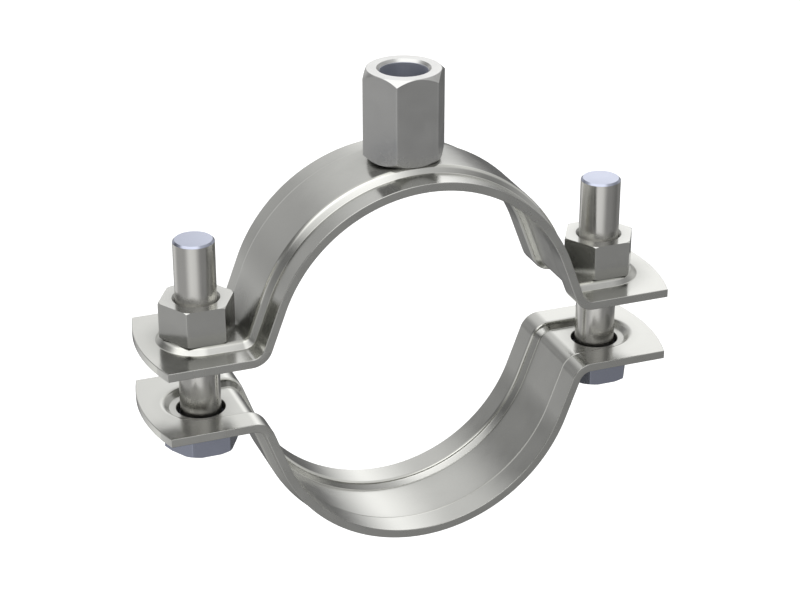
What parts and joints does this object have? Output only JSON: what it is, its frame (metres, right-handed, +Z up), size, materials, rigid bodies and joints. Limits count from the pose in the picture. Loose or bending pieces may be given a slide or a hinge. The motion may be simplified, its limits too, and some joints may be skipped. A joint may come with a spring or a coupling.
{
  "type": "split ring hanger",
  "caption": "Two-part ribbed steel pipe ring with bolted ears and a threaded hexagon boss on its crest, hung from a rod to carry a horizontal pipe.",
  "frame": {"origin": "centre of the upper strap's pipe seat", "axes": "+Z up along the hanger rod, Y along the pipe, X from bolt to bolt with +X to the right bolt"},
  "size_m": [0.1072, 0.026, 0.0956],
  "materials": {
    "strap_zinc": "bright zinc plate, smooth",
    "boss_zinc": "bright zinc plate, smooth",
    "bolt_zinc": "bright zinc plate with a faint blue passivation",
    "nut_zinc": "bright zinc plate, smooth"
  },
  "bodies": {
    "upper_half": {"upper_strap": "strap_zinc", "rod_boss": "boss_zinc"},
    "lower_half": {"lower_strap": "strap_zinc"},
    "left_bolt": {"left_bolt": "bolt_zinc"},
    "right_bolt": {"right_bolt": "bolt_zinc"},
    "left_nut": {"left_nut": "nut_zinc"},
    "right_nut": {"right_nut": "nut_zinc"}
  },
  "joints": [
    {"name": "lower_half_slide", "type": "slide", "parent": "upper_half", "child": "lower_half", "axis": [0, 0, 1], "range_m": [-0.012, 0.0117]},
    {"name": "left_nut_turn", "type": "hinge", "parent": "upper_half", "child": "left_nut", "pos_m": [-0.04201, 0, 0.0065], "axis": [0, 0, 1], "range_deg": [-3370, 3457]},
    {"name": "right_nut_turn", "type": "hinge", "parent": "upper_half", "child": "right_nut", "pos_m": [0.04201, 0, 0.0065], "axis": [0, 0, 1], "range_deg": [-3370, 3457]},
    {"name": "left_bolt_turn", "type": "hinge", "parent": "lower_half", "child": "left_bolt", "pos_m": [-0.04201, 0, -0.0149], "axis": [0, 0, 1], "continuous": true},
    {"name": "right_bolt_turn", "type": "hinge", "parent": "lower_half", "child": "right_bolt", "pos_m": [0.04201, 0, -0.0149], "axis": [0, 0, 1], "continuous": true}
  ],
  "couplings": [
    {"joint": "left_nut_turn", "follows": "lower_half_slide", "rad_per_m": -5026.5},
    {"joint": "right_nut_turn", "follows": "lower_half_slide", "rad_per_m": -5026.5}
  ]
}
